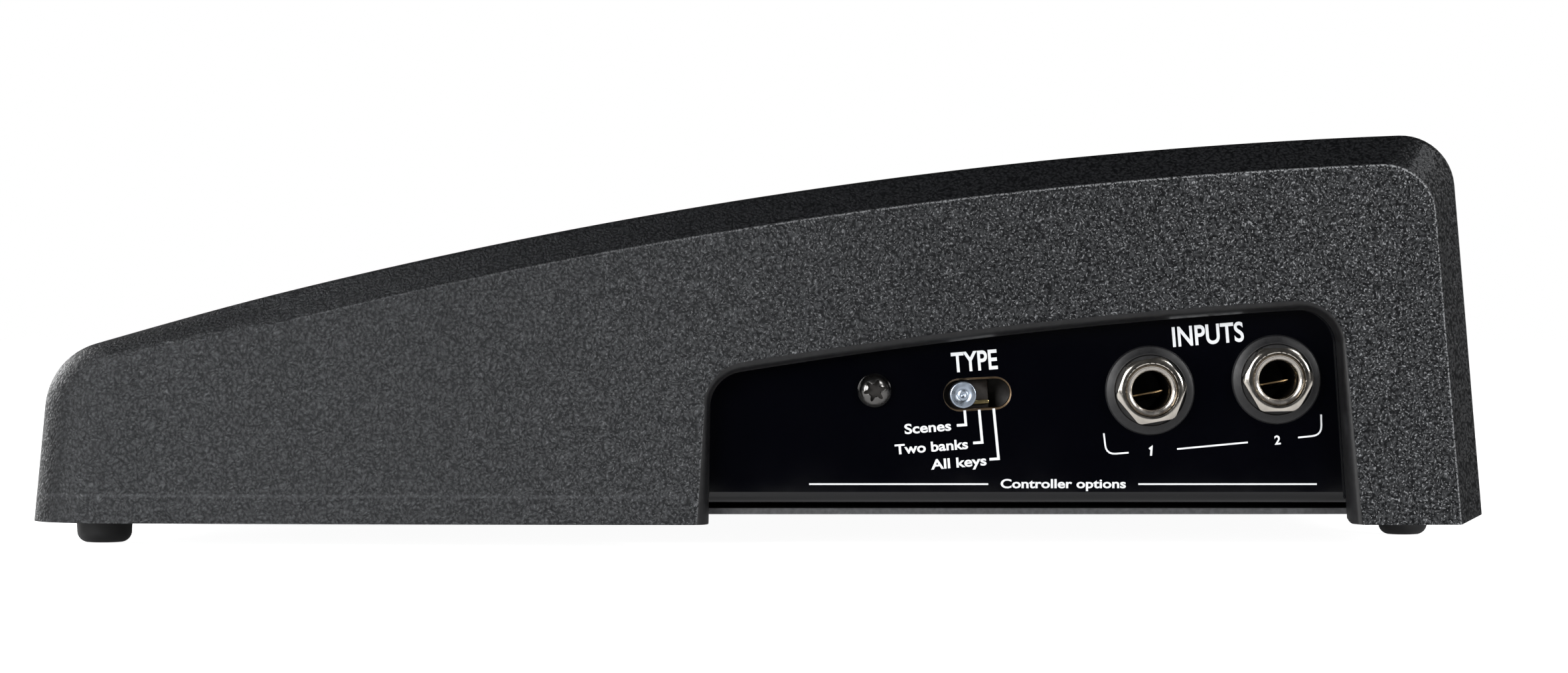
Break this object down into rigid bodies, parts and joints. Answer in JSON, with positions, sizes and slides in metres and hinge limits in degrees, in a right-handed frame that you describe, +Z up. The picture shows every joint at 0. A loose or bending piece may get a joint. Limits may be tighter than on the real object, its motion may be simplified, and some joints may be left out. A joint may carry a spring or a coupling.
{
  "type": "foot controller",
  "caption": "Sloping floor foot controller with textured end cheeks, sprung footswitches and a recessed side panel with control jacks and a sliding mode switch.",
  "frame": {"origin": "on the floor under the middle of the controller's box", "axes": "+X to the player's right along the long side, +Y away from the player, +Z up"},
  "size_m": [0.4, 0.2415, 0.0684],
  "materials": {
    "cheek_plastic": "leather-grained moulding",
    "panel_gloss": "gloss black",
    "chassis_paint": "fine-textured satin paint",
    "base_steel": "satin",
    "black_plastic": "satin",
    "nickel": "polished",
    "dark_nickel": "satin",
    "zinc": "turned",
    "bracket_steel": "dull",
    "rubber": "matte",
    "lamp_red": "clear tinted",
    "smoked_window": "polished",
    "board_green": "satin"
  },
  "bodies": {
    "housing": {"base_plate": "base_steel", "base_screw_front_left": "dark_nickel", "base_screw_front_right": "dark_nickel", "base_screw_rear_left": "dark_nickel", "base_screw_rear_right": "dark_nickel", "chassis": "chassis_paint", "cheek_left": "cheek_plastic", "cheek_right": "cheek_plastic", "control_jack_1_body": "black_plastic", "control_jack_1_nut": "nickel", "control_jack_1_washer": "black_plastic", "control_jack_2_body": "black_plastic", "control_jack_2_nut": "nickel", "control_jack_2_washer": "black_plastic", "data_socket": "black_plastic", "display_module": "black_plastic", "display_window": "smoked_window", "foot_front_left": "rubber", "foot_front_right": "rubber", "foot_rear_left": "rubber", "foot_rear_right": "rubber", "footswitch_1_body": "black_plastic", "footswitch_1_nut": "nickel", "footswitch_2_body": "black_plastic", "footswitch_2_nut": "nickel", "footswitch_3_body": "black_plastic", "footswitch_3_nut": "nickel", "footswitch_4_body": "black_plastic", "footswitch_4_nut": "nickel", "footswitch_5_body": "black_plastic", "footswitch_5_nut": "nickel", "footswitch_6_body": "black_plastic", "footswitch_6_nut": "nickel", "footswitch_7_body": "black_plastic", "footswitch_7_nut": "nickel", "lamp_1": "lamp_red", "lamp_2": "lamp_red", "lamp_3": "lamp_red", "lamp_4": "lamp_red", "lamp_5": "lamp_red", "lamp_6": "lamp_red", "lamp_7": "lamp_red", "link_jack_body": "black_plastic", "link_jack_nut": "nickel", "link_jack_washer": "black_plastic", "main_board": "board_green", "mode_switch_body": "black_plastic", "panel_screw": "dark_nickel", "side_panel": "panel_gloss", "switch_bracket": "bracket_steel"},
    "footswitch_1": {"footswitch_1_button": "nickel"},
    "footswitch_2": {"footswitch_2_button": "nickel"},
    "footswitch_3": {"footswitch_3_button": "nickel"},
    "footswitch_4": {"footswitch_4_button": "nickel"},
    "footswitch_5": {"footswitch_5_button": "nickel"},
    "footswitch_6": {"footswitch_6_button": "nickel"},
    "footswitch_7": {"footswitch_7_button": "nickel"},
    "mode_switch_pin": {"mode_slider": "zinc"}
  },
  "joints": [
    {"name": "footswitch_1_press", "type": "slide", "parent": "housing", "child": "footswitch_1", "axis": [0, 0.2314, -0.9728], "range_m": [0, 0.0022], "stiffness_N_per_m": 1500, "springref_m": -0.001},
    {"name": "footswitch_2_press", "type": "slide", "parent": "housing", "child": "footswitch_2", "axis": [0, 0.2314, -0.9728], "range_m": [0, 0.0022], "stiffness_N_per_m": 1500, "springref_m": -0.001},
    {"name": "footswitch_3_press", "type": "slide", "parent": "housing", "child": "footswitch_3", "axis": [0, 0.2314, -0.9728], "range_m": [0, 0.0022], "stiffness_N_per_m": 1500, "springref_m": -0.001},
    {"name": "footswitch_4_press", "type": "slide", "parent": "housing", "child": "footswitch_4", "axis": [0, 0.2314, -0.9728], "range_m": [0, 0.0022], "stiffness_N_per_m": 1500, "springref_m": -0.001},
    {"name": "footswitch_5_press", "type": "slide", "parent": "housing", "child": "footswitch_5", "axis": [0, 0.2314, -0.9728], "range_m": [0, 0.0022], "stiffness_N_per_m": 1500, "springref_m": -0.001},
    {"name": "footswitch_6_press", "type": "slide", "parent": "housing", "child": "footswitch_6", "axis": [0, 0.1123, -0.9937], "range_m": [0, 0.0022], "stiffness_N_per_m": 1500, "springref_m": -0.001},
    {"name": "footswitch_7_press", "type": "slide", "parent": "housing", "child": "footswitch_7", "axis": [0, 0.1123, -0.9937], "range_m": [0, 0.0022], "stiffness_N_per_m": 1500, "springref_m": -0.001},
    {"name": "mode_slide", "type": "slide", "parent": "housing", "child": "mode_switch_pin", "axis": [0, 0.9986, 0.0523], "range_m": [0, 0.0048]}
  ]
}
